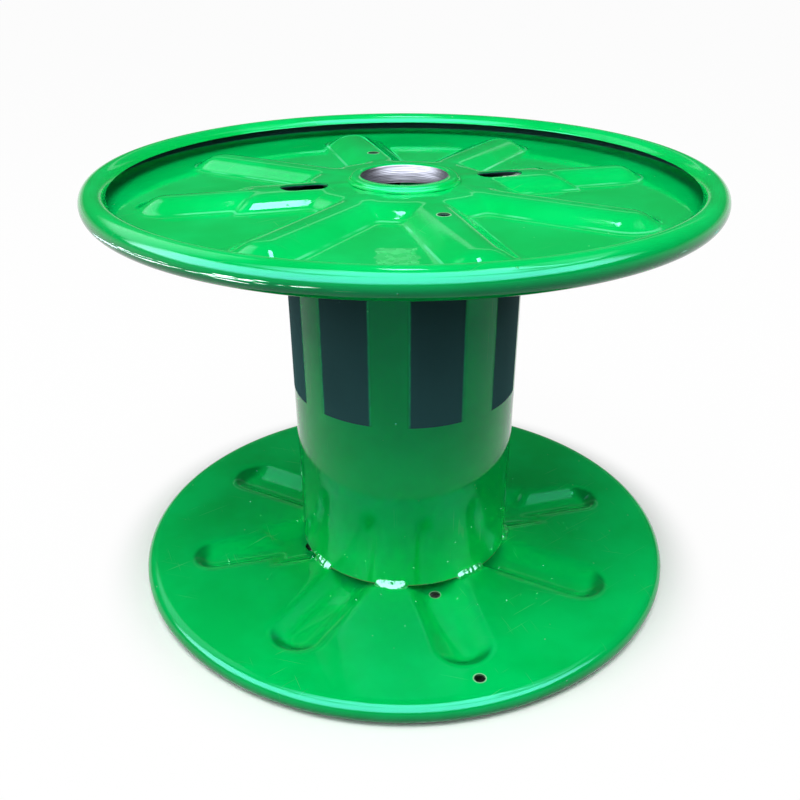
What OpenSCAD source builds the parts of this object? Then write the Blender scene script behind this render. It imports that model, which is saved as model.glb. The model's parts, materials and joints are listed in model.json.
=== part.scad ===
// Pressed-steel cable drum: two ribbed flanges with rolled rims, a barrel welded
// between them and a turned bush in each hub.
// It stands upright on one rim. The origin is the centre of the circle it stands on,
// +Z runs up the drum's axis, the drive slots lie on X and the rope holes on Y.

/* [Drum] */
// Diameter of the flanges over their rolled rims
flange_d = 500; // [430:5:620]
// Width of the drum from rim to rim
drum_w = 364; // [240:2:520]
// Outer diameter of the barrel that the cable is wound on
barrel_d = 198; // [180:2:240]
// Thickness of the flange sheet
flange_t = 2; // [1.5:0.1:3]
// Thickness of the barrel sheet
barrel_t = 2; // [1.5:0.1:4]

/* [Rolled rim] */
// Outer diameter of the roll at the flange's edge
roll_d = 20.8; // [18:0.2:26]
// How far round the sheet is rolled, in degrees from the flat plate
roll_turn = 250; // [240:5:315]

/* [Pressed ribs] */
// Number of radial ribs pressed outwards in each flange
rib_count = 8; // [4:4:8]
// Width of a rib from foot to foot, on the winding side
rib_w = 50; // [40:1:56]
// Width of the outer stretch of the two ribs that carry the drive slots
slot_rib_w = 44; // [36:1:56]
// Depth of the pressing
rib_depth = 10; // [6:0.5:12]
// Width in plan of the pressing's sloping walls
wall_run = 16; // [10:0.5:17]
// Flat band left between the ribs' round ends and the edge of the flange
edge_band = 42; // [34:1:60]
// Flat ring left between the hub plateau's foot and the inside of the barrel
plateau_gap = 9; // [4:0.5:16]

/* [Drive slots] */
// Distance between the centres of the two slots
slot_spacing = 162; // [150:1:176]
// Length of a slot from end to end
slot_l = 38; // [26:1:46]
// Width of a slot
slot_w = 20; // [12:1:24]
// Level metal on each side of a slot
slot_side = 6; // [4:0.5:8]
// Level metal beyond the outer end of a slot
slot_end = 22; // [14:1:28]

/* [Rope holes] */
// Diameter of the holes that the cable's end is tied through
rope_hole_d = 9; // [6:0.5:14]
// Metal between the barrel and the inner rope holes
rope_hole_gap = 0.5; // [0.5:0.5:8]
// Distance from the edge of the flange to the centre of the outer rope hole
rope_hole_inset = 26; // [24:0.5:32]

/* [Hub bush] */
// Bore of the bush
bore_d = 70; // [50:1:76]
// Wall of the bush inside the flange
bush_wall = 5; // [3:0.5:8]
// Length of the bush
bush_l = 15; // [8:0.5:20]
// How far the collar reaches past the wall
collar_w = 3; // [2:0.5:6]
// Height of the collar above the plateau
collar_h = 4; // [2:0.5:6]
// Bevel on the outer edge of the collar
collar_bevel = 1.2; // [0.4:0.1:1.8]
// Bevel at the mouth of the bore
bore_bevel = 0.8; // [0.2:0.1:1.6]
// Gap between the bush and its hole in the plateau
bush_clearance = 0.15; // [0.05:0.05:0.5]

/* [Weld beads] */
// Leg of the weld along the barrel and along the flange
weld_leg = 5.5; // [3:0.5:8]
// How far a bead runs past the flat onto the shoulder of the next rib
weld_run_on = 2; // [0:0.5:4]

/* [Hidden] */
$fn = 120;

paint_green = [0.0, 0.62, 0.30];
weld_green = [0.0, 0.52, 0.26];
turned_steel = [0.62, 0.62, 0.63];

// How far a cutting solid passes the face that it cuts
overcut = 1;

barrel_r = barrel_d / 2;
roll_r = roll_d / 2;
roll_centre = flange_d / 2 - roll_r;
barrel_l = drum_w - 2 * roll_d;

rib_step = 360 / rib_count;
wall_angle = atan(rib_depth / wall_run);
// Sideways shift of the outer skin's walls that keeps the sheet's thickness
skin_shift = flange_t * tan(wall_angle / 2);
plateau_r = barrel_r - barrel_t - plateau_gap;
plateau_z = rib_depth + flange_t;
rib_root = plateau_r - wall_run - rib_w / 2;
rib_reach = flange_d / 2 - edge_band;

slot_r = slot_spacing / 2;
pad_w = slot_w + 2 * slot_side + 2 * wall_run;
pad_reach = slot_r + slot_l / 2 + slot_end + wall_run;

inner_hole_r = barrel_r + rope_hole_gap + rope_hole_d / 2;
outer_hole_r = flange_d / 2 - rope_hole_inset;

bore_r = bore_d / 2;
bush_r = bore_r + bush_wall;
collar_r = bush_r + collar_w;
collar_top = plateau_z + collar_h;

// True for the two opposite ribs that carry a drive slot
function has_slot(i) = i % (rib_count / 2) == 0;

// Half width of rib i where the barrel crosses it
function foot_half(i) = (has_slot(i) ? pad_w : rib_w) / 2;

// Angle from the middle of rib i to its foot, at the barrel
function foot_angle(i) = asin(foot_half(i) / barrel_r);

// Where a sloping wall stands at height z, when its foot stands at foot_z
function wall_at(foot, foot_z, z) = foot - (z - foot_z) * wall_run / rib_depth;

// Half section of the plate and its rolled rim, with the inner face on the x axis
module plate_section() {
    gap_reach = 2 * roll_d;
    gap_end = roll_turn - 90;
    square([roll_centre, flange_t]);
    translate([roll_centre, roll_r]) difference() {
        circle(d = roll_d);
        circle(d = roll_d - 2 * flange_t);
        polygon([
            [0, 0],
            [0, -gap_reach],
            gap_reach * [cos(gap_end), sin(gap_end)]
        ]);
    }
}

// Straight bar along X with sloping sides, from x = start to x = stop
module bar(start, stop, foot, foot_z, low, high) {
    low_half = wall_at(foot, foot_z, low);
    high_half = wall_at(foot, foot_z, high);
    translate([start, 0, 0]) rotate([90, 0, 90]) linear_extrude(stop - start)
        polygon([[-low_half, low], [low_half, low], [high_half, high], [-high_half, high]]);
}

// One rib along X, with a half-round end
module rib(width, grow, foot_z, low, high) {
    foot = width / 2 + grow;
    end_x = rib_reach - width / 2;
    bar(rib_root, end_x, foot, foot_z, low, high);
    translate([end_x, 0, 0]) rotate(-90) rotate_extrude(angle = 180)
        polygon([
            [0, low],
            [wall_at(foot, foot_z, low), low],
            [wall_at(foot, foot_z, high), high],
            [0, high]
        ]);
}

// Wider stretch of a rib around its drive slot, with a sloping end
module slot_pad(grow, foot_z, low, high) {
    under = low - overcut;
    over = high + overcut;
    intersection() {
        bar(rib_root, pad_reach + 2 * wall_run, pad_w / 2 + grow, foot_z, low, high);
        rotate([90, 0, 0]) linear_extrude(2 * pad_w, center = true)
            polygon([
                [0, under],
                [wall_at(pad_reach + grow, foot_z, under), under],
                [wall_at(pad_reach + grow, foot_z, over), over],
                [0, over]
            ]);
    }
}

// The hub plateau, ribs and slot pads in one, between heights low and high
module pressing(grow, foot_z, low, high) {
    translate([0, 0, low]) cylinder(
        h = high - low,
        r1 = wall_at(plateau_r + grow, foot_z, low),
        r2 = wall_at(plateau_r + grow, foot_z, high)
    );
    for (i = [0 : rib_count - 1]) rotate(i * rib_step) {
        rib(has_slot(i) ? slot_rib_w : rib_w, grow, foot_z, low, high);
        if (has_slot(i)) slot_pad(grow, foot_z, low, high);
    }
}

// Cutter for one drive slot, centred on the origin and running along X
module slot_cutter() {
    depth = flange_t + 2 * overcut;
    straight = slot_l - slot_w;
    translate([-straight / 2, -slot_w / 2, 0]) cube([straight, slot_w, depth]);
    for (turn = [0, 180]) rotate(turn) translate([straight / 2, 0, 0])
        rotate(-90) rotate_extrude(angle = 180) square([slot_w / 2, depth]);
}

// Cutter for one rope hole through a sheet whose inner face is at height z
module rope_hole_cutter(z) {
    translate([0, 0, z - overcut]) cylinder(h = flange_t + 2 * overcut, d = rope_hole_d);
}

// One flange with its inner face at z = 0, pressed towards +Z
module flange() {
    color(paint_green) difference() {
        union() {
            rotate_extrude() plate_section();
            pressing(skin_shift, flange_t, flange_t / 2, plateau_z);
        }
        pressing(0, 0, -overcut, rib_depth);
        translate([0, 0, rib_depth - overcut])
            cylinder(h = flange_t + 2 * overcut, r = bush_r + bush_clearance);
        for (turn = [0, 180]) rotate(turn) translate([slot_r, 0, rib_depth - overcut]) slot_cutter();
        for (side = [-1, 1]) translate([0, side * inner_hole_r, 0]) rope_hole_cutter(rib_depth);
        translate([0, -outer_hole_r, 0]) rope_hole_cutter(0);
    }
}

// One hub bush in the flange's frame: its collar rests on the plateau
module hub_bush() {
    foot = collar_top - bush_l;
    color(turned_steel) rotate_extrude() polygon([
        [bore_r, foot],
        [bush_r, foot],
        [bush_r, plateau_z],
        [collar_r, plateau_z],
        [collar_r, collar_top - collar_bevel],
        [collar_r - collar_bevel, collar_top],
        [bore_r + bore_bevel, collar_top],
        [bore_r, collar_top - bore_bevel]
    ]);
}

// The tube between the two flanges
module barrel() {
    color(paint_green) rotate_extrude()
        translate([barrel_r - barrel_t, roll_d]) square([barrel_t, barrel_l]);
}

// Fillet beads on the flats between the ribs, in the flange's frame
module weld_beads() {
    run_on_angle = weld_run_on / barrel_r * 180 / PI;
    color(weld_green) for (i = [0 : rib_count - 1]) {
        start = i * rib_step + foot_angle(i) - run_on_angle;
        stop = (i + 1) * rib_step - foot_angle((i + 1) % rib_count) + run_on_angle;
        rotate(start) rotate_extrude(angle = stop - start) translate([barrel_r, 0]) intersection() {
            circle(r = weld_leg);
            translate([0, -weld_leg]) square(weld_leg);
        }
    }
}

// Sets what is drawn in the flange's frame at the bottom of the drum, facing down
module at_bottom() {
    translate([0, 0, roll_d]) mirror([0, 0, 1]) children();
}

// Sets what is drawn in the flange's frame at the top of the drum, facing up
module at_top() {
    translate([0, 0, drum_w - roll_d]) children();
}

at_bottom() flange();  // bottom_flange
at_top() flange();  // top_flange
barrel();
at_bottom() hub_bush();  // bottom_hub_bush
at_top() hub_bush();  // top_hub_bush
at_bottom() weld_beads();  // bottom_weld_beads
at_top() weld_beads();  // top_weld_beads
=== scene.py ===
import json
import math

import bpy
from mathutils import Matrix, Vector


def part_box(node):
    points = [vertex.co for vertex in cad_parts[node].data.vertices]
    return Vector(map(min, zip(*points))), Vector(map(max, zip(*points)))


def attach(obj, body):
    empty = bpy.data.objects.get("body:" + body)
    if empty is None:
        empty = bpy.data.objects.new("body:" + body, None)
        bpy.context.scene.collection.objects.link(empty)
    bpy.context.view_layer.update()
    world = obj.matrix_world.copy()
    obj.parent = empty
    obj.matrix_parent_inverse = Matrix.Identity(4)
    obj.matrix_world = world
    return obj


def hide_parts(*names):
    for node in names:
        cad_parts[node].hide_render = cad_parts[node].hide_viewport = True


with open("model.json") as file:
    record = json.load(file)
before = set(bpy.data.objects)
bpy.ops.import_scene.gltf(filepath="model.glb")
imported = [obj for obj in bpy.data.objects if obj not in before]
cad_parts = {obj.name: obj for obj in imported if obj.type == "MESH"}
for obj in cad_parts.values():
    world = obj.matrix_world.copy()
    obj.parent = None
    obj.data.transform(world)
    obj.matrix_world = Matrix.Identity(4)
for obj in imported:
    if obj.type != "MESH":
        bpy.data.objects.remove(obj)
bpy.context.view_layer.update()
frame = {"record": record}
mounts = {mount["name"]: mount for mount in frame["record"]["mounts"]}
mm = 0.001
fullTurn = 2 * math.pi

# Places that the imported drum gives
flangeLow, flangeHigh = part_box("top_flange")
barrelLow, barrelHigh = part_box("barrel")
bushLow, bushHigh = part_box("top_hub_bush")
flangeRadius = flangeHigh.x
rollRadius = (flangeHigh.z - flangeLow.z) / 2
rollCentre = flangeRadius - rollRadius
topFace = flangeLow.z                          # winding side of the top flange
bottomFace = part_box("bottom_flange")[1].z      # winding side of the bottom flange
drumMiddle = (topFace + bottomFace) / 2
barrelRadius = barrelHigh.x
ropeHoleNames = ("top_rope_hole_inner_front", "top_rope_hole_inner_back", "top_rope_hole_outer")
ropeHoles = [mounts[name]["pos_m"][:2] for name in ropeHoleNames]
ropeHoleRadius = mounts["top_rope_hole_outer"]["dims"]["r_mm"] * mm
print("frame: flange", round(flangeRadius / mm, 1), "mm, barrel", round(barrelRadius / mm, 1), "mm")


class Wire:                                    # one socket, usable in sums
    def __init__(self, sheet, socket):
        self.sheet = sheet
        self.socket = socket

    def out(self, name):                       # another output of the same node
        return Wire(self.sheet, pickSocket(self.socket.node.outputs, name))

    def math(self, operation, *others):
        return self.sheet.add("ShaderNodeMath", {"operation": operation}, dict(enumerate((self, *others))))

    def flipped(self, operation, other):
        return self.sheet.add("ShaderNodeMath", {"operation": operation}, {0: other, 1: self})

    def __add__(self, other):
        return self.math("ADD", other)

    def __radd__(self, other):
        return self.flipped("ADD", other)

    def __sub__(self, other):
        return self.math("SUBTRACT", other)

    def __rsub__(self, other):
        return self.flipped("SUBTRACT", other)

    def __mul__(self, other):
        return self.math("MULTIPLY", other)

    def __rmul__(self, other):
        return self.flipped("MULTIPLY", other)

    def __truediv__(self, other):
        return self.math("DIVIDE", other)

    def __rtruediv__(self, other):
        return self.flipped("DIVIDE", other)

    def __pow__(self, other):
        return self.math("POWER", other)

    def __rpow__(self, other):
        return self.flipped("POWER", other)


class NodeSheet:                               # a node tree while it is drawn
    def __init__(self, tree):
        self.tree = tree
        tree.nodes.clear()

    def add(self, kind, settings=None, sockets=None):
        node = self.tree.nodes.new(kind)
        for name, value in (settings or {}).items():
            setattr(node, name, value)
        for key, value in (sockets or {}).items():
            socket = pickSocket(node.inputs, key)
            for entry in value if isinstance(value, list) else [value]:
                if isinstance(entry, Wire):
                    self.tree.links.new(entry.socket, socket)
                else:
                    socket.default_value = entry
        return Wire(self, pickSocket(node.outputs, 0)) if node.outputs else None


def pickSocket(sockets, key):                  # by place, identifier or name
    shown = [socket for socket in sockets if socket.enabled]
    if isinstance(key, int):
        return shown[key]
    return next(socket for socket in shown if key in (socket.identifier, socket.name))


def combine(sheet, x, y, z):
    return sheet.add("ShaderNodeCombineXYZ", {}, {"X": x, "Y": y, "Z": z})


def split(sheet, vector):
    parts = sheet.add("ShaderNodeSeparateXYZ", {}, {"Vector": vector})
    return parts, parts.out("Y"), parts.out("Z")


def cloud(sheet, spot, blotch, detail=2.0):    # noise with blotches of a given size
    return sheet.add("ShaderNodeTexNoise", {}, {"Vector": spot, "Scale": 1 / blotch, "Detail": detail})


def fade(wire, start, stop):                   # 0 at start, 1 at stop, either way round
    return wire.sheet.add(
        "ShaderNodeMapRange",
        {"interpolation_type": "SMOOTHSTEP"},
        {"Value": wire, "From Min": start, "From Max": stop},
    )


def gather(operation, wires):                  # the largest or smallest of several
    result = wires[0]
    for wire in wires[1:]:
        result = result.math(operation, wire)
    return result


def blendColour(factor, first, second):
    return factor.sheet.add(
        "ShaderNodeMix",
        {"data_type": "RGBA"},
        {"Factor_Float": factor, "A_Color": first, "B_Color": second},
    )


def mixShaders(factor, first, second):
    return factor.sheet.add("ShaderNodeMixShader", {}, {0: factor, 1: first, 2: second})


def screenColour(red, green, blue):            # colour as read on a screen, 0 to 255
    def linear(value):
        share = value / 255
        return share / 12.92 if share <= 0.04045 else ((share + 0.055) / 1.055) ** 2.4
    return (linear(red), linear(green), linear(blue), 1.0)


def newMaterial(name):
    material = bpy.data.materials.new(name)
    material.use_nodes = True
    return material, NodeSheet(material.node_tree)


def finishMaterial(sheet, shader):
    sheet.add("ShaderNodeOutputMaterial", {}, {"Surface": shader})


def addToScene(name, data):
    piece = bpy.data.objects.new(name, data)
    bpy.context.scene.collection.objects.link(piece)
    return piece


# A piece made by a node tree: its sizes are the tree's named inputs
def growPiece(name, drawTree, sizes, material, sharpAngle):
    tree = bpy.data.node_groups.new(name + "Tree", "GeometryNodeTree")
    tree.interface.new_socket("Geometry", in_out="OUTPUT", socket_type="NodeSocketGeometry")
    for label, value in sizes.items():
        kind = "NodeSocketInt" if isinstance(value, int) else "NodeSocketFloat"
        tree.interface.new_socket(label, in_out="INPUT", socket_type=kind)
    sheet = NodeSheet(tree)
    entry = sheet.add("NodeGroupInput")
    shape = drawTree(sheet, {label: entry.out(label) for label in sizes})
    shape = sheet.add("GeometryNodeRealizeInstances", {}, {"Geometry": shape})
    shape = sheet.add("GeometryNodeSetMaterial", {}, {"Geometry": shape, "Material": material})
    sheet.add("NodeGroupOutput", {}, {"Geometry": shape})

    piece = addToScene(name, bpy.data.meshes.new(name))
    modifier = piece.modifiers.new("shape", "NODES")
    modifier.node_group = tree
    for item in tree.interface.items_tree:
        if item.in_out == "INPUT":
            modifier[item.identifier] = sizes[item.name]
    grown = piece.evaluated_get(bpy.context.evaluated_depsgraph_get())
    mesh = bpy.data.meshes.new_from_object(grown)
    piece.modifiers.remove(modifier)
    piece.data = mesh
    mesh.shade_smooth()
    mesh.set_sharp_from_angle(angle=sharpAngle)
    mesh.calc_loop_triangles()
    print(name, len(mesh.loop_triangles), "triangles")
    return piece


# Pressing

ribSizes = {
    "ribCount": 8,
    "ribHalf": 25 * mm,
    "slotRibTrim": 3 * mm,                     # taken off each side of the two slot ribs
    "ribReach": 208 * mm,
    "ribWall": 17 * mm,                        # run of a rib's sloping wall
    "ribSoftness": 0.5,                        # softness is in shares of the depth
    "pressDepth": 10.3 * mm,
    "footSoftness": 0.5,
    "shoulderSoftness": 0.8,
    "ceiling": 1.08,                           # a soft lid, in shares of the depth
    "padHalf": 32 * mm,
    "padReach": 138 * mm,
    "plateauRadius": 88 * mm,
    "padWall": 16 * mm,
    "joinSoftness": 0.4,
}


# Height of the sheet's winding side above its flat, in the flange's own frame
def pressedHeight(size, x, y):
    radius = (x * x + y * y).math("SQRT")
    angle = y.math("ARCTAN2", x)
    step = fullTurn / size["ribCount"]
    middle = (angle / step).math("ROUND") * step
    along = radius * (angle - middle).math("COSINE")
    across = radius * (angle - middle).math("SINE")
    onSlotRib = middle.math("COSINE").math("ABSOLUTE").math("GREATER_THAN", 0.9)   # the ribs on the x axis
    half = size["ribHalf"] - onSlotRib * size["slotRibTrim"]
    past = (along - (size["ribReach"] - half)).math("MAXIMUM", 0.0)
    rib = (half - (past * past + across * across).math("SQRT")) / size["ribWall"]
    rib = rib.math("SMOOTH_MIN", 1.0, size["ribSoftness"])
    padSide = (size["padHalf"] - y.math("ABSOLUTE")) / size["padWall"]
    padEnd = (size["padReach"] - x.math("ABSOLUTE")) / size["padWall"]
    pad = padSide.math("SMOOTH_MIN", padEnd, size["joinSoftness"])
    plateau = (size["plateauRadius"] - radius) / size["padWall"]
    level = plateau.math("SMOOTH_MAX", pad, size["joinSoftness"])
    level = level.math("SMOOTH_MIN", 1.0, size["shoulderSoftness"])
    rise = rib.math("SMOOTH_MAX", level, size["joinSoftness"])
    rise = rise.math("SMOOTH_MIN", size["ceiling"], size["shoulderSoftness"])
    rise = rise.math("SMOOTH_MAX", 0.0, size["footSoftness"])
    return rise * size["pressDepth"]


# Enamel: each kind of mark has its settings and a function that gives its mask

scuffColour = screenColour(236, 244, 240)
nearBlackColour = screenColour(10, 16, 12)          # near black: painted shade in the roll and upper recesses, and the rope holes' walls
windingEdge = (1.0 * mm, 0.6 * mm)             # distance out from the winding side


class DrumPoint:                               # where a shaded point lies on the drum
    def __init__(self, sheet):
        self.sheet = sheet
        self.spot = sheet.add("ShaderNodeTexCoord").out("Object")
        self.x, self.y, self.z = split(sheet, self.spot)
        self.reach = (self.x * self.x + self.y * self.y).math("SQRT")
        self.onTop = self.z.math("GREATER_THAN", drumMiddle)
        fromMiddle = (self.z - drumMiddle).math("ABSOLUTE")
        self.lift = fromMiddle - (topFace - drumMiddle)    # outwards from the flange's flat
        self.rollHeight = fromMiddle - (topFace - drumMiddle + rollRadius)
        pastRoll = self.reach - rollCentre
        self.rollAngle = self.rollHeight.math("ARCTAN2", pastRoll) * (180 / math.pi)
        self.rollReach = (self.rollHeight * self.rollHeight + pastRoll * pastRoll).math("SQRT")
        self.pressed = pressedHeight(ribSizes, self.x, self.y)
        self.winding = fade(self.lift - self.pressed, *windingEdge)    # 1 from there to the drum's middle

    def blotches(self, size, detail=2.0):
        return cloud(self.sheet, self.spot, size, detail)

    def turned(self, angle, centre=(0.0, 0.0), stretch=(1.0, 1.0, 1.0)):
        return self.sheet.add(
            "ShaderNodeMapping",
            {"vector_type": "TEXTURE"},
            {
                "Vector": self.spot,
                "Location": (*centre, 0.0),
                "Rotation": (0.0, 0.0, angle),
                "Scale": stretch,
            },
        )

    def streaks(self, lane, detail):           # noise in a lane that is already to scale
        return self.sheet.add("ShaderNodeTexNoise", {}, {"Vector": lane, "Scale": 1.0, "Detail": detail})


scratches = {
    "colour": scuffColour,
    "share": 0.05,                             # of the mark's colour in the paint
    "rise": -0.02,                             # in mm
    "rough": 0.15,                             # added to the paint's roughness
    "width": 0.9 * mm,
    "hairEdge": (0.79, 0.84),                  # an edge is where noise or distance fades in
    "patchSize": 60 * mm,
    "patchSoftness": 0.12,
    "runs": ((0.4, 46 * mm, 0.50), (1.7, 34 * mm, 0.52), (2.6, 60 * mm, 0.50)),   # turn, length, rarity
}


def scratchMask(at, mark):
    patches = at.blotches(mark["patchSize"])
    lines = []
    for turn, length, rarity in mark["runs"]:
        lane = at.turned(turn, stretch=(length, mark["width"], length))
        hair = fade(at.streaks(lane, detail=0.0), *mark["hairEdge"])
        lines.append(hair * fade(patches, rarity, rarity + mark["patchSoftness"]))
    return gather("MAXIMUM", lines)


nibs = {                                       # dust in the paint
    "colour": scuffColour,
    "share": 0.12,
    "rise": 0.35,
    "spacing": 14 * mm,
    "sizeEdge": (0.075, 0.02),                 # in shares of the spacing
    "rarity": 0.62,
}


def nibMask(at, mark):
    cells = at.sheet.add("ShaderNodeTexVoronoi", {}, {"Vector": at.spot, "Scale": 1 / mark["spacing"]})
    pick = split(at.sheet, cells.out("Color"))[0]
    return fade(cells, *mark["sizeEdge"]) * pick.math("GREATER_THAN", mark["rarity"])


residue = {                                    # a faint patch on the top flange
    "colour": scuffColour,
    "share": 0.065,
    "rise": 0.06,
    "rough": 0.3,
    "centre": (-50 * mm, -161 * mm),
    "turn": math.radians(-15.5),
    "half": (14 * mm, 22 * mm),
    "softness": 1.5 * mm,
    "raggedSize": 9 * mm,
    "raggedReach": 10 * mm,
    "grainSize": 8 * mm,
    "grainEdge": (0.36, 0.66),
    "grainShare": 0.5,
}


def residueMask(at, mark):
    x, y, z = split(at.sheet, at.turned(mark["turn"], mark["centre"]))
    ragged = (at.blotches(mark["raggedSize"], detail=3.0) - 0.5) * mark["raggedReach"]
    inside = gather("MINIMUM", [half - way.math("ABSOLUTE") for half, way in zip(mark["half"], (x, y))])
    patch = fade(inside + ragged, 0.0, mark["softness"]) * z.math("GREATER_THAN", topFace)
    grain = fade(at.blotches(mark["grainSize"]), *mark["grainEdge"]) * mark["grainShare"]
    return patch * (1 - mark["grainShare"] + grain)


wornEnds = {                                   # the barrel's two ends, rubbed through in places
    "colour": screenColour(122, 112, 84),
    "share": 0.8,
    "rough": 0.3,
    "innerEdge": (-1.2 * mm, -0.6 * mm),
    "outerEdge": (0.6 * mm, 0.4 * mm),
    "barrelEdge": (2.2 * mm, 1.8 * mm),
    "patchSize": 12 * mm,
    "patchEdge": (0.34, 0.5),
}


def wornMask(at, mark):
    ends = fade(at.lift, *mark["innerEdge"]) * fade(at.lift, *mark["outerEdge"])
    ends = ends * fade((at.reach - barrelRadius).math("ABSOLUTE"), *mark["barrelEdge"])
    return ends * fade(at.blotches(mark["patchSize"], detail=3.0), *mark["patchEdge"])


holeRims = {
    "colour": scuffColour,
    "share": 0.35,
    "holeEdge": (ropeHoleRadius + 1.3 * mm, ropeHoleRadius + 0.8 * mm),
    "flangeEdge": (-0.2 * mm, -0.1 * mm),
}
holeWalls = {
    "colour": nearBlackColour,
    "share": 0.8,
    "holeEdge": (ropeHoleRadius + 0.3 * mm, ropeHoleRadius + 0.1 * mm),
    "flangeEdge": (-0.2 * mm, -0.1 * mm),
}


def holeMask(at, mark):
    gaps = []
    for holeX, holeY in ropeHoles:
        sideways = at.x - holeX
        lengthways = at.y - holeY
        gaps.append((sideways * sideways + lengthways * lengthways).math("SQRT"))
    return fade(gather("MINIMUM", gaps), *mark["holeEdge"]) * fade(at.lift, *mark["flangeEdge"])


footHighlights = {                                  # painted highlight: pale lines along the feet of the ribs
    "colour": screenColour(130, 250, 205),
    "share": 0.3,
    "height": 0.7 * mm,
    "lineEdge": (0.35 * mm, 0.15 * mm),
    "outsideEdge": (1.0 * mm, 1.5 * mm),
    "patchSize": 40 * mm,
    "patchEdge": (0.42, 0.56),
}


# Painted highlight: pale lines where the ribs' feet bend, on the outer side of the sheet, in blotches
def footHighlightMask(at, mark):
    line = fade((at.pressed - mark["height"]).math("ABSOLUTE"), *mark["lineEdge"])
    line = line * fade(at.lift, *mark["outsideEdge"])
    return line * fade(at.blotches(mark["patchSize"]), *mark["patchEdge"])


recessEndShade = {                                # painted shade in the round ends of the ribs, on the winding side
    "colour": screenColour(0, 74, 36),
    "share": 0.6,
    "footEdge": (0.6 * mm, 2.4 * mm),
    "floorEdge": (9.4 * mm, 6.0 * mm),
    "reachEdge": (187 * mm, 199 * mm),
}


# Painted shade: darkens the sloping walls at the ribs' outer ends on the winding side
def recessEndShadeMask(at, mark):
    wall = fade(at.pressed, *mark["footEdge"]) * fade(at.pressed, *mark["floorEdge"])
    return at.winding * wall * fade(at.reach, *mark["reachEdge"])


rimRub = {                                     # bare lines on the upper rim
    "colour": scuffColour,
    "share": 1.0,
    "rise": -0.08,
    "rough": 0.45,
    "metal": True,
    "angle": -9,                               # degrees round the roll, 0 is outermost
    "halfWidth": 10,
    "line": 5,                                 # degrees of roll that a rubbed line takes
    "length": 30 * mm,
    "streakEdge": (0.66, 0.71),
    "bandLift": 0.2,                           # more lines towards the band's middle
    "patchSize": 60 * mm,
    "patchEdge": (0.56, 0.62),
    "towards": math.radians(-139),             # where the rim is rubbed most
    "towardsEdge": (0.88, 0.97),               # cosine of the angle away from there
    "rollEdge": (rollRadius + 0.6 * mm, rollRadius + 0.2 * mm),
}


def rubMask(at, mark):
    towards = (at.x * math.cos(mark["towards"]) + at.y * math.sin(mark["towards"])) / at.reach
    patches = fade(at.blotches(mark["patchSize"]), *mark["patchEdge"])
    patches = patches.math("MAXIMUM", fade(towards, *mark["towardsEdge"])) * at.onTop
    lane = combine(at.sheet, at.x / mark["length"], at.y / mark["length"], at.rollAngle / mark["line"])
    band = fade((at.rollAngle - mark["angle"]).math("ABSOLUTE"), mark["halfWidth"], 0.0)
    lines = fade(at.streaks(lane, detail=3.0) + band * mark["bandLift"], *mark["streakEdge"])
    lines = lines * band.math("GREATER_THAN", 0.0)
    return lines * patches * fade(at.rollReach, *mark["rollEdge"])


# Painted shade, near black and rough: inside the roll, and in the upper recesses by the barrel.
# It also darkens the barrel's upper half below each rib, because the winding mask has no lower end.
insideShade = {
    "colour": nearBlackColour,
    "share": 1.0,
    "rough": 0.9,
    "rollEdge": (rollRadius - 0.4 * mm, rollRadius - 1.4 * mm),
    "heightEdge": (-6.5 * mm, -4.5 * mm),
    "recessEdge": (0.8 * mm, 2.5 * mm),
    "reachEdge": (barrelRadius + 13 * mm, barrelRadius + 6 * mm),
}


# Painted shade: near black in the roll behind the lip, and in the upper recesses by the barrel
def insideShadeMask(at, mark):
    inRoll = fade(at.rollReach, *mark["rollEdge"]) * fade(at.rollHeight, *mark["heightEdge"])
    inRecess = at.winding * fade(at.pressed, *mark["recessEdge"]) * at.onTop
    return inRoll.math("MAXIMUM", inRecess * fade(at.reach, *mark["reachEdge"]))


enamelMarks = (                                # from the lowest to the uppermost
    (scratchMask, scratches),
    (nibMask, nibs),
    (residueMask, residue),
    (wornMask, wornEnds),
    (holeMask, holeRims),
    (holeMask, holeWalls),
    (footHighlightMask, footHighlights),
    (recessEndShadeMask, recessEndShade),
    (rubMask, rimRub),
    (insideShadeMask, insideShade),
)
enamelLook = {
    "green": screenColour(0, 202, 98),
    "deepGreen": screenColour(0, 188, 86),
    "flowSize": 70 * mm,                       # blotches of the two greens
    "flowEdge": (0.35, 0.7),
    "gloss": 0.05,
    "filmSize": 55 * mm,                       # blotches where the gloss has dulled
    "filmEdge": (0.45, 0.75),
    "filmRough": 0.05,
    "specular": 0.28,
    "ior": 1.55,
    "highlight": (0.22, 0.92, 1.0, 1.0),
    "peelSize": 3.2 * mm,                      # fine bumps in the paint
    "peelRise": 0.010,
}
weldLook = {**enamelLook, "gloss": 0.03, "specular": 0.7, "highlight": (0.6, 1.0, 1.0, 1.0)}


def enamelPaint(name, look):
    material, sheet = newMaterial(name)
    at = DrumPoint(sheet)
    flow = fade(at.blotches(look["flowSize"], detail=3.0), *look["flowEdge"])
    film = fade(at.blotches(look["filmSize"], detail=4.0), *look["filmEdge"])
    inputs = {
        "IOR": look["ior"],
        "Specular IOR Level": look["specular"],
        "Specular Tint": look["highlight"],
    }
    colour = blendColour(flow, look["deepGreen"], look["green"])
    rough = look["gloss"] + film * look["filmRough"]
    rise = at.blotches(look["peelSize"], detail=1.0) * look["peelRise"]
    for drawMask, mark in enamelMarks:
        mask = drawMask(at, mark)
        colour = blendColour(mask * mark["share"], colour, mark["colour"])
        if "rise" in mark:
            rise = rise + mask * mark["rise"]
        if "rough" in mark:
            rough = rough + mask * mark["rough"]
        if "metal" in mark:
            inputs["Metallic"] = mask
    bump = sheet.add("ShaderNodeBump", {}, {"Strength": 1.0, "Distance": 1 * mm, "Height": rise})
    inputs.update({"Base Color": colour, "Roughness": rough, "Normal": bump})
    finishMaterial(sheet, sheet.add("ShaderNodeBsdfPrincipled", {}, inputs))
    return material


# Turned steel

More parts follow.
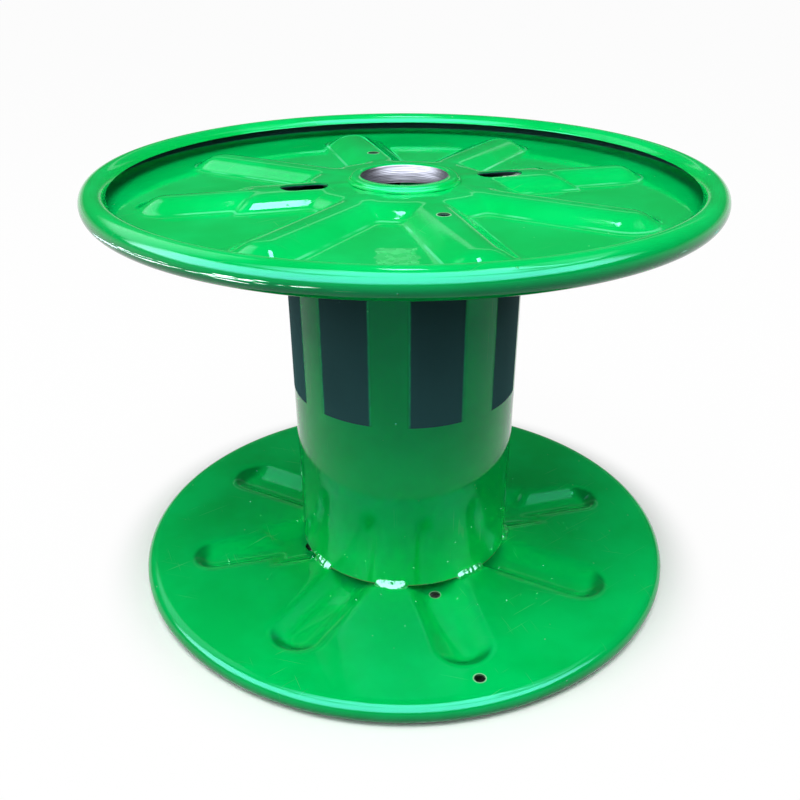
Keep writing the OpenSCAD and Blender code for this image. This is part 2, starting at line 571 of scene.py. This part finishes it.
steelLook = {
    "bright": (0.17, 0.165, 0.18, 1.0),
    "dull": (0.05, 0.048, 0.053, 1.0),
    "toneEdge": (0.35, 0.7),
    "rough": 0.3,
    "grainRough": 0.2,
    "ringPitch": 1.3 * mm,
    "wanderSize": 18 * mm,
    "wander": 5,                               # radians that the rings stray
    "grainScale": (40.0, 40.0, 2600.0),        # drawn out round the bush
    "toolDepth": 0.1 * mm,
}


def turnedSteel(name, look):
    material, sheet = newMaterial(name)
    spot = sheet.add("ShaderNodeTexCoord").out("Object")
    z = split(sheet, spot)[2]
    wander = cloud(sheet, spot, look["wanderSize"], detail=3.0) * look["wander"]
    rings = (z * (fullTurn / look["ringPitch"]) + wander).math("SINE") * 0.5 + 0.5
    lane = sheet.add("ShaderNodeMapping", {}, {"Vector": spot, "Scale": look["grainScale"]})
    grain = sheet.add("ShaderNodeTexNoise", {}, {"Vector": lane, "Scale": 1.0, "Detail": 3.0})
    rise = rings * 0.5 + grain * 0.5
    bump = sheet.add("ShaderNodeBump", {}, {"Strength": 1.0, "Distance": look["toolDepth"], "Height": rise})
    inputs = {
        "Base Color": blendColour(fade(grain, *look["toneEdge"]), look["dull"], look["bright"]),
        "Roughness": look["rough"] + grain * look["grainRough"],
        "Metallic": 1.0,
        "Normal": bump,
    }
    finishMaterial(sheet, sheet.add("ShaderNodeBsdfPrincipled", {}, inputs))
    return material


greenEnamel = enamelPaint("greenEnamel", enamelLook)
weldEnamel = enamelPaint("weldEnamel", weldLook)
boreSteel = turnedSteel("turnedSteel", steelLook)
print("materials ready")


# Flanges

slots = mounts["top_drive_slots"]["dims"]
mergeGap = 0.01 * mm
flangeSizes = {
    "flangeRadius": flangeRadius,
    "rollRadius": rollRadius,
    "rollTurn": math.radians(250),
    "sheetThickness": 2 * mm,
    "hubHole": 40.15 * mm,
    "columns": 352,
    "plateRows": 112,
    "rollRows": 24,
    "footCrowding": 0.4,                       # draws the columns towards the ribs' feet
    "waviness": 0.25 * mm,
    "waveSize": 90 * mm,
    "slotLength": slots["slot_length_mm"] * mm,
    "slotRadius": slots["hole_r_mm"] * mm,
    "slotSpacing": slots["spacing_x_mm"] * mm,
    "slotCorners": 48,
    "ropeHole": ropeHoleRadius,
    "ropeHoleCorners": 32,
    "cutDepth": 60 * mm,
}


def unitGrid(sheet, across, along):            # a flat grid to be bent, and its two ways from -0.5 to 0.5
    counts = {"Vertices X": across, "Vertices Y": along}
    grid = sheet.add("GeometryNodeMeshGrid", {}, {"Size X": 1.0, "Size Y": 1.0, **counts})
    u, v, _ = split(sheet, sheet.add("GeometryNodeInputPosition"))
    return grid, u, v


def moved(sheet, shape, x, y, z):              # each point to its new place
    place = combine(sheet, x, y, z)
    return sheet.add("GeometryNodeSetPosition", {}, {"Geometry": shape, "Position": place})


def merged(sheet, shape):
    return sheet.add("GeometryNodeMergeByDistance", {}, {"Geometry": shape, "Distance": mergeGap})


def joined(sheet, shapes):
    return sheet.add("GeometryNodeJoinGeometry", {}, {"Geometry": shapes})


def thickened(sheet, skin, thickness):         # a closed shell from an open skin
    push = {"Offset Scale": thickness, "Individual": False}
    outer = sheet.add("GeometryNodeExtrudeMesh", {}, {"Mesh": skin, **push})
    inner = sheet.add("GeometryNodeFlipFaces", {}, {"Mesh": skin})
    return merged(sheet, joined(sheet, [outer, inner]))


def setOnSide(sheet, shape, size):             # from the flange's own frame to its end of the drum
    put = {
        "Translation": combine(sheet, 0.0, 0.0, size["faceHeight"]),
        "Rotation": combine(sheet, 0.0, size["turnedOver"], 0.0),
    }
    return sheet.add("GeometryNodeTransform", {}, {"Geometry": shape, **put})


def holeCutters(sheet, size):
    def peg(corners, radius):
        section = {"Vertices": corners, "Radius": radius}
        return sheet.add("GeometryNodeMeshCylinder", {}, {**section, "Depth": size["cutDepth"]})

    def shifted(shape, place):
        return sheet.add("GeometryNodeTransform", {}, {"Geometry": shape, "Translation": place})

    slot = peg(size["slotCorners"], size["slotRadius"])
    x, y, z = split(sheet, sheet.add("GeometryNodeInputPosition"))
    stretch = x.math("SIGN") * (size["slotLength"] / 2 - size["slotRadius"])
    slot = moved(sheet, slot, x + stretch, y, z)
    cutters = []
    for side in (-0.5, 0.5):
        cutters.append(shifted(slot, combine(sheet, size["slotSpacing"] * side, 0.0, 0.0)))
    hole = peg(size["ropeHoleCorners"], size["ropeHole"])
    for holeX, holeY in ropeHoles:
        cutters.append(shifted(hole, (holeX, holeY, 0.0)))
    return cutters


def drawFlange(sheet, size):
    rows = size["plateRows"] + size["rollRows"]
    plateShare = size["plateRows"] / rows
    grid, u, v = unitGrid(sheet, rows + 1.0, size["columns"] + 1.0)
    along = u + 0.5
    turn = (v + 0.5) * fullTurn
    footCount = size["ribCount"] * 2.0
    angle = turn + (turn * footCount).math("SINE") * size["footCrowding"] / footCount
    onPlate = (along / plateShare).math("MINIMUM", 1.0)
    rolled = ((along - plateShare) / (1.0 - plateShare)).math("MAXIMUM", 0.0) * size["rollTurn"]
    plateReach = size["flangeRadius"] - size["rollRadius"] - size["hubHole"]
    radius = size["hubHole"] + plateReach * onPlate + size["rollRadius"] * rolled.math("SINE")
    x = radius * angle.math("COSINE")
    y = radius * angle.math("SINE")
    waves = cloud(sheet, combine(sheet, x, y, 0.0), size["waveSize"], detail=1.0) - 0.5
    height = pressedHeight(size, x, y) + size["rollRadius"] * (1.0 - rolled.math("COSINE"))
    height = height + waves * size["waviness"] * (1.0 - rolled.math("GREATER_THAN", 0.0))
    skin = merged(sheet, moved(sheet, grid, x, y, height))
    shell = thickened(sheet, skin, size["sheetThickness"])
    shell = sheet.add(
        "GeometryNodeMeshBoolean",
        {"operation": "DIFFERENCE", "solver": "MANIFOLD"},
        {"Mesh 1": shell, "Mesh 2": holeCutters(sheet, size)},
    )
    return setOnSide(sheet, shell, size)


sides = {
    "top": {"faceHeight": topFace, "turnedOver": 0.0},
    "bottom": {"faceHeight": bottomFace, "turnedOver": math.pi},
}
sheetEdge = math.radians(40)                   # a bend that is drawn as a sharp edge
for side, where in sides.items():
    sizes = {**flangeSizes, **ribSizes, **where}
    flange = growPiece(side + "FlangePressing", drawFlange, sizes, greenEnamel, sheetEdge)
    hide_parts(side + "_flange")
    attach(flange, "root")


# Barrel

barrelSizes = {
    "barrelRadius": barrelRadius,
    "barrelFoot": barrelLow.z,
    "barrelLength": barrelHigh.z - barrelLow.z,
    "barrelSheet": 2 * mm,
    "barrelColumns": 256,
    "barrelRows": 96,
    "barrelWaviness": 0.3 * mm,
    "barrelWaveSize": 0.8,                     # in radii of the barrel
    "barrelWaveRise": 3.0,                     # radii that a metre of height counts as
}


def drawBarrel(sheet, size):
    grid, u, v = unitGrid(sheet, size["barrelColumns"] + 1.0, size["barrelRows"] + 1.0)
    angle = (u + 0.5) * fullTurn
    height = size["barrelFoot"] + size["barrelLength"] * (v + 0.5)
    ringX = angle.math("COSINE")
    ringY = angle.math("SINE")
    course = combine(sheet, ringX, ringY, height * size["barrelWaveRise"])
    waves = cloud(sheet, course, size["barrelWaveSize"], detail=1.0) - 0.5
    radius = size["barrelRadius"] - size["barrelSheet"] + waves * size["barrelWaviness"]
    skin = merged(sheet, moved(sheet, grid, ringX * radius, ringY * radius, height))
    return thickened(sheet, skin, size["barrelSheet"])


barrel = growPiece("barrelTube", drawBarrel, barrelSizes, greenEnamel, sheetEdge)
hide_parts("barrel")
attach(barrel, "root")


# Weld beads and spatter

weldSizes = {
    "legOut": 5.4 * mm,
    "legUp": 6.4 * mm,
    "crown": 0.14,                             # how far the bead's face bulges
    "bulk": 0.95,                              # mean size, in shares of the legs
    "taperPower": 5.0,                         # a higher power gives blunter ends
    "beadSink": 0.3 * mm,                      # how far the bead's back lies in the sheet
    "beadStations": 72,
    "beadRows": 12,
    "ripplePitch": 5.2 * mm,
    "rippleShare": 0.03,
    "rippleWander": 6.0,
    "lumpShare": 0.22,
    "lumpSize": 9 * mm,
    "lumpTurn": 4 * mm,                        # change of the lumps round the bead's face
    "lumpShift": 9.0,                          # keeps the two ends of the drum from being alike
    "spatterCount": 64,
    "spatterSize": 0.7 * mm,
    "spatterReach": 80 * mm,
    "spatterCrowding": 2.0,                    # a higher power brings the drops nearer to the weld
    "spatterLeast": 0.5,
    "spatterMost": 1.4,
    "spatterSeed": 7,
    "holeClearance": 8 * mm,
}
beadRunOn = 2 * mm                             # how far a bead runs onto the shoulders of the ribs
beadEdge = math.radians(60)


def beadArcs():                                # the flats between the ribs, in radians
    arcs = []
    ribCount = ribSizes["ribCount"]
    for i in range(ribCount):
        feet = []
        for j in (i, i + 1):
            half = ribSizes["padHalf"] if j % (ribCount // 2) == 0 else ribSizes["ribHalf"]
            feet.append(math.asin((half - beadRunOn) / barrelRadius))
        arcs.append((i * fullTurn / ribCount + feet[0], (i + 1) * fullTurn / ribCount - feet[1]))
    return arcs


def drawWelds(sheet, size):
    grid, u, v = unitGrid(sheet, size["beadStations"], size["beadRows"] + 3.0)
    # The first and the last row meet on the root line, which closes the bead
    row = ((v + 0.5) * (size["beadRows"] + 2.0)).math("ROUND")
    onFace = row.math("GREATER_THAN", 0.5) * row.math("LESS_THAN", size["beadRows"] + 1.5)
    lean = (row - 1.0) / size["beadRows"] * (math.pi / 2)
    taper = 1.0 - (u * 2.0).math("ABSOLUTE") ** size["taperPower"]
    taper = taper.math("MAXIMUM", 0.0).math("SQRT")
    flat = 1.0 / (lean.math("COSINE") / size["legOut"] + lean.math("SINE") / size["legUp"])
    face = flat * (1.0 + (lean * 2.0).math("SINE") * size["crown"])
    strips = []
    for start, stop in beadArcs():
        angle = (u + 0.5) * (stop - start) + start
        ringX = angle.math("COSINE")
        ringY = angle.math("SINE")
        drift = lean * size["lumpTurn"] + size["faceHeight"] * size["lumpShift"]
        course = combine(sheet, ringX * barrelRadius, ringY * barrelRadius, drift)
        lumps = cloud(sheet, course, size["lumpSize"]) - 0.5
        waves = angle * barrelRadius * fullTurn / size["ripplePitch"]
        ripple = (waves + lumps * size["rippleWander"]).math("SINE")
        swell = size["bulk"] + lumps * size["lumpShare"] * 2.0 + ripple * size["rippleShare"]
        thick = face * swell * taper * onFace
        radius = barrelRadius - size["beadSink"] + thick * lean.math("COSINE")
        height = size["beadSink"] - thick * lean.math("SINE")
        strips.append(moved(sheet, grid, ringX * radius, ringY * radius, height))
    beads = merged(sheet, joined(sheet, strips))
    beads = sheet.add("GeometryNodeFlipFaces", {}, {"Mesh": beads})
    return setOnSide(sheet, joined(sheet, [beads, *drawSpatter(sheet, size)]), size)


def drawSpatter(sheet, size):                  # drops that stuck to the flange and to the barrel
    def draw(low, high, step):
        seed = size["spatterSeed"] + float(step)
        settings = {"data_type": "FLOAT"}
        return sheet.add("FunctionNodeRandomValue", settings, {"Min": low, "Max": high, "Seed": seed})

    angle = draw(0.0, fullTurn, 1)
    away = draw(0.0, 1.0, 2) ** size["spatterCrowding"] * size["spatterReach"]
    drop = sheet.add("GeometryNodeMeshIcoSphere", {}, {"Radius": size["spatterSize"], "Subdivisions": 2})
    sets = []
    for onBarrel in (False, True):
        radius = barrelRadius + (0.0 if onBarrel else away)
        x = angle.math("COSINE") * radius
        y = angle.math("SINE") * radius
        height = away * -1.0 if onBarrel else pressedHeight(size, x, y)
        place = combine(sheet, x, y, height)
        points = sheet.add("GeometryNodePoints", {}, {"Count": size["spatterCount"], "Position": place})
        byHole = x.math("ABSOLUTE").math("LESS_THAN", size["holeClearance"])
        points = sheet.add(
            "GeometryNodeDeleteGeometry", {"domain": "POINT"}, {"Geometry": points, "Selection": byHole}
        )
        grow = draw(size["spatterLeast"], size["spatterMost"], 3)
        drops = {"Points": points, "Instance": drop, "Scale": grow}
        sets.append(sheet.add("GeometryNodeInstanceOnPoints", {}, drops))
    return sets


for side, where in sides.items():
    sizes = {**weldSizes, **ribSizes, **where}
    welds = growPiece(side + "WeldBeads", drawWelds, sizes, weldEnamel, beadEdge)
    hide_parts(side + "_weld_beads")
    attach(welds, "root")


# Hub bushes

bushLook = {
    "wall": 5 * mm,
    "collarHeight": 4 * mm,
    "collarRound": 2.2 * mm,
    "collarSink": 0.2 * mm,                    # how far the collar's foot lies in the sheet
    "mouthBevel": 0.8 * mm,
    "footFillet": 2.4 * mm,
    "turns": 160,
    "arcSteps": 8,
    "sharpAngle": math.radians(50),
}


def arcPoints(centre, radius, start, stop, steps):
    points = []
    for i in range(steps + 1):
        angle = math.radians(start + (stop - start) * i / steps)
        points.append((centre[0] + radius * math.cos(angle), centre[1] + radius * math.sin(angle)))
    return points


# Points (radius, height) anticlockwise, with height 0 on the collar's top
def bushProfile(look):
    bore = mounts["top_bore"]["dims"]["r_mm"] * mm
    outside = bore + look["wall"]
    collar = bushHigh.x
    foot = -(bushHigh.z - bushLow.z)
    seat = -look["collarHeight"]
    under = seat - look["collarSink"]
    fillet = look["footFillet"]
    bend = look["collarRound"]
    points = [(bore, foot), (outside, foot), (outside, under), (collar + fillet, under)]
    points += arcPoints((collar + fillet, seat + fillet), fillet, 270, 180, look["arcSteps"])
    points += arcPoints((collar - bend, -bend), bend, 0, 90, look["arcSteps"])
    points += [(bore + look["mouthBevel"], 0.0), (bore, -look["mouthBevel"])]
    return points


def makeBush(name, side):
    profile = bushProfile(bushLook)
    turns = bushLook["turns"]
    count = len(profile)
    up = 1 if side == "top" else -1
    level = bushHigh.z if side == "top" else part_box("bottom_hub_bush")[0].z
    vertices = []
    for i in range(turns):
        angle = fullTurn * i / turns
        for radius, height in profile:
            vertices.append((radius * math.cos(angle), radius * math.sin(angle), level + up * height))
    faces = []
    for i in range(turns):
        after = (i + 1) % turns
        for j in range(count):
            k = (j + 1) % count
            corners = [i * count + j, after * count + j, after * count + k, i * count + k]
            faces.append(corners if up > 0 else corners[::-1])
    mesh = bpy.data.meshes.new(name)
    mesh.from_pydata(vertices, [], faces)
    mesh.materials.append(boreSteel)
    mesh.materials.append(greenEnamel)
    painted = range(2, count - 1)              # the collar and the bevel at the mouth
    for place, polygon in enumerate(mesh.polygons):
        polygon.material_index = 1 if place % count in painted else 0
    mesh.shade_smooth()
    mesh.set_sharp_from_angle(angle=bushLook["sharpAngle"])
    return addToScene(name, mesh)


for side in sides:
    bush = makeBush(side + "HubBush", side)
    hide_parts(side + "_hub_bush")
    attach(bush, "root")
print("bushes ready")


# Floor, light and camera

studio = {
    "white": (1.0, 1.0, 1.0, 1.0),
    "floorSize": 60.0,
    "floorColour": (0.9, 0.9, 0.9, 1.0),
    "floorBounce": (0.10, 0.10, 0.10, 1.0),    # what the floor throws back on the drum
    "floorGlow": 0.97,
    "glowStart": 1.2,                          # in flange radii, from where the floor is plain white
    "dimWorld": 0.06,                          # strength that lights the drum
    "paleShare": 0.5,                          # of the white background, in the gloss near the horizon
    "paleRise": (0.14, 0.04),                  # sine of the height where the gloss loses and sees it
}


def makeFloor():
    half = studio["floorSize"] / 2
    corners = [(-half, -half, 0), (half, -half, 0), (half, half, 0), (-half, half, 0)]
    mesh = bpy.data.meshes.new("floor")
    mesh.from_pydata(corners, [], [(0, 1, 2, 3)])
    floor = addToScene("floor", mesh)
    material, sheet = newMaterial("paleFloor")
    rays = sheet.add("ShaderNodeLightPath")
    seen = rays.out("Is Camera Ray").math("MAXIMUM", rays.out("Is Glossy Ray"))
    seen = seen.math("MAXIMUM", rays.out("Is Transmission Ray"))
    x, y, _ = split(sheet, sheet.add("ShaderNodeTexCoord").out("Object"))
    clear = fade((x * x + y * y).math("SQRT"), rollCentre, flangeRadius * studio["glowStart"])
    dull = sheet.add("ShaderNodeBsdfDiffuse", {}, {"Color": studio["floorBounce"]})
    pale = sheet.add("ShaderNodeBsdfDiffuse", {}, {"Color": studio["floorColour"]})
    glow = sheet.add("ShaderNodeEmission", {}, {"Color": studio["white"], "Strength": 1.0})
    matt = mixShaders(seen, dull, pale)
    finishMaterial(sheet, mixShaders(seen * clear * studio["floorGlow"], matt, glow))
    mesh.materials.append(material)


lamps = {                                      # in metres, and the gloss shows only a lamp with a glint
    "skyPanel": {"place": (-0.1, -0.3, 2.3), "aim": (-0.1, -0.3, 0.0), "size": (4.0, 3.0), "watts": 36},
    "keyPanel": {"place": (-0.3, -0.85, 2.5), "aim": (0.0, -0.1, 0.2), "size": (1.4, 0.8), "watts": 34},
    "frontFill": {"place": (-1.0, -1.8, 1.7), "aim": (0.0, 0.0, 0.1), "size": (3.0, 0.9), "watts": 9.5},
    "leftFill": {"place": (-2.1, 0.2, 1.9), "aim": (0.0, 0.0, 0.1), "size": (1.4, 1.0), "watts": 14},
    "rightFill": {"place": (2.1, -0.5, 1.9), "aim": (0.0, 0.0, 0.1), "size": (1.4, 1.0), "watts": 9},
    "ceilingLamp": {
        "place": (0.11, 0.42, 2.1),
        "aim": (0.11, 0.42, 0.0),
        "size": (0.2, 0.3),
        "watts": 5.5,
        "glint": True,
    },
}


def makeLamps():
    for name, lamp in lamps.items():
        data = bpy.data.lights.new(name, "AREA")
        data.shape = "RECTANGLE"
        data.size, data.size_y = lamp["size"]
        data.energy = lamp["watts"]
        light = addToScene(name, data)
        light.location = lamp["place"]
        aim = Vector(lamp["aim"]) - Vector(lamp["place"])
        light.rotation_euler = aim.to_track_quat("-Z", "Y").to_euler()
        light.visible_diffuse = "glint" not in lamp
        light.visible_glossy = "glint" in lamp


cardLook = {                                   # curved bright cards that only the gloss shows
    "centre": 0.35,                            # height of the point that they curve round, in metres
    "colour": (0.85, 0.92, 1.0, 1.0),
    "softness": 0.25,                          # share of the card that fades out at each edge
}
cards = {                                      # bearing from the front, low and high edge, in degrees
    "windowCard": {
        "edges": (
            (-122, 14, 26), (-112, 8, 37), (-85, 2, 43), (-50, 0, 49),
            (0, 5, 53), (35, 12, 46), (62, 20, 42), (76, 26, 40),
        ),
        "distance": 2.6,
        "strength": 18.0,
    },
    "leftCard": {
        "edges": ((-168, 28, 52), (-150, 18, 58), (-125, 14, 60), (-98, 34, 56)),
        "distance": 2.6,
        "strength": 2.2,
    },
    "rightCard": {
        "edges": ((30, 46, 60), (60, 48, 68), (90, 46, 68), (120, 44, 64)),
        "distance": 2.6,
        "strength": 2.4,
    },
    "roofCard": {
        "edges": ((-100, 48, 78), (-60, 44, 82), (-15, 42, 84), (30, 42, 82), (70, 44, 78), (95, 48, 72)),
        "distance": 2.7,
        "strength": 18.0,
    },
    "backCard": {
        "edges": ((130, 20, 24), (160, 20, 24), (190, 20, 24)),
        "distance": 12.0,
        "strength": 0.7,
    },
}


def makeCard(name, card):
    vertices = []
    for bearing, low, high in card["edges"]:
        for rise in (low, high):
            level = card["distance"] * math.cos(math.radians(rise))
            vertices.append((
                level * math.sin(math.radians(bearing)),
                -level * math.cos(math.radians(bearing)),
                cardLook["centre"] + card["distance"] * math.sin(math.radians(rise)),
            ))
    faces = [(i, i + 1, i + 3, i + 2) for i in range(0, len(vertices) - 2, 2)]
    mesh = bpy.data.meshes.new(name)
    mesh.from_pydata(vertices, [], faces)
    across = mesh.uv_layers.new(name="across")
    lastEdge = len(card["edges"]) - 1
    for loop in mesh.loops:
        across.data[loop.index].uv = (loop.vertex_index // 2 / lastEdge, loop.vertex_index % 2)
    material, sheet = newMaterial(name)
    u, v, _ = split(sheet, sheet.add("ShaderNodeUVMap", {"uv_map": "across"}))
    inside = gather("MINIMUM", [0.5 - (way - 0.5).math("ABSOLUTE") for way in (u, v)])
    glow = sheet.add("ShaderNodeEmission", {}, {"Color": cardLook["colour"], "Strength": card["strength"]})
    clear = sheet.add("ShaderNodeBsdfTransparent")
    finishMaterial(sheet, mixShaders(fade(inside, 0.0, cardLook["softness"]), clear, glow))
    mesh.materials.append(material)
    piece = addToScene(name, mesh)
    piece.visible_camera = False
    piece.visible_diffuse = False
    piece.visible_shadow = False


def makeWorld():
    world = bpy.data.worlds.new("studioWorld")
    world.use_nodes = True
    sheet = NodeSheet(world.node_tree)
    rays = sheet.add("ShaderNodeLightPath")
    rise = split(sheet, sheet.add("ShaderNodeTexCoord").out("Generated"))[2]
    mirrored = rays.out("Is Glossy Ray").math("MAXIMUM", rays.out("Is Transmission Ray"))
    mirrored = mirrored * fade(rise, *studio["paleRise"]) * studio["paleShare"]
    seen = rays.out("Is Camera Ray").math("MAXIMUM", mirrored)
    dim = sheet.add("ShaderNodeBackground", {}, {"Color": studio["white"], "Strength": studio["dimWorld"]})
    bright = sheet.add("ShaderNodeBackground", {}, {"Color": studio["white"], "Strength": 1.0})
    sheet.add("ShaderNodeOutputWorld", {}, {"Surface": mixShaders(seen, dim, bright)})
    bpy.context.scene.world = world


view = {
    "place": (-196.7 * mm, -709.3 * mm, 528.4 * mm),
    "heading": (0.2672, 0.9636),
    "downward": 32.19,                         # degrees below level
    "sensor": 36.0,
    "lens": 40.265,
    "shift": (-0.0055, 0.1078),
}


def makeCamera():
    data = bpy.data.cameras.new("camera")
    data.sensor_width = view["sensor"]
    data.lens = view["lens"]
    data.shift_x, data.shift_y = view["shift"]
    camera = addToScene("camera", data)
    camera.location = view["place"]
    down = math.radians(view["downward"])
    level = math.cos(down)
    look = Vector((view["heading"][0] * level, view["heading"][1] * level, -math.sin(down)))
    camera.rotation_euler = look.to_track_quat("-Z", "Y").to_euler()
    bpy.context.scene.camera = camera


makeFloor()
makeLamps()
for name, card in cards.items():
    makeCard(name, card)
makeWorld()
makeCamera()
bpy.context.scene.view_settings.view_transform = "Standard"
print("stage ready")
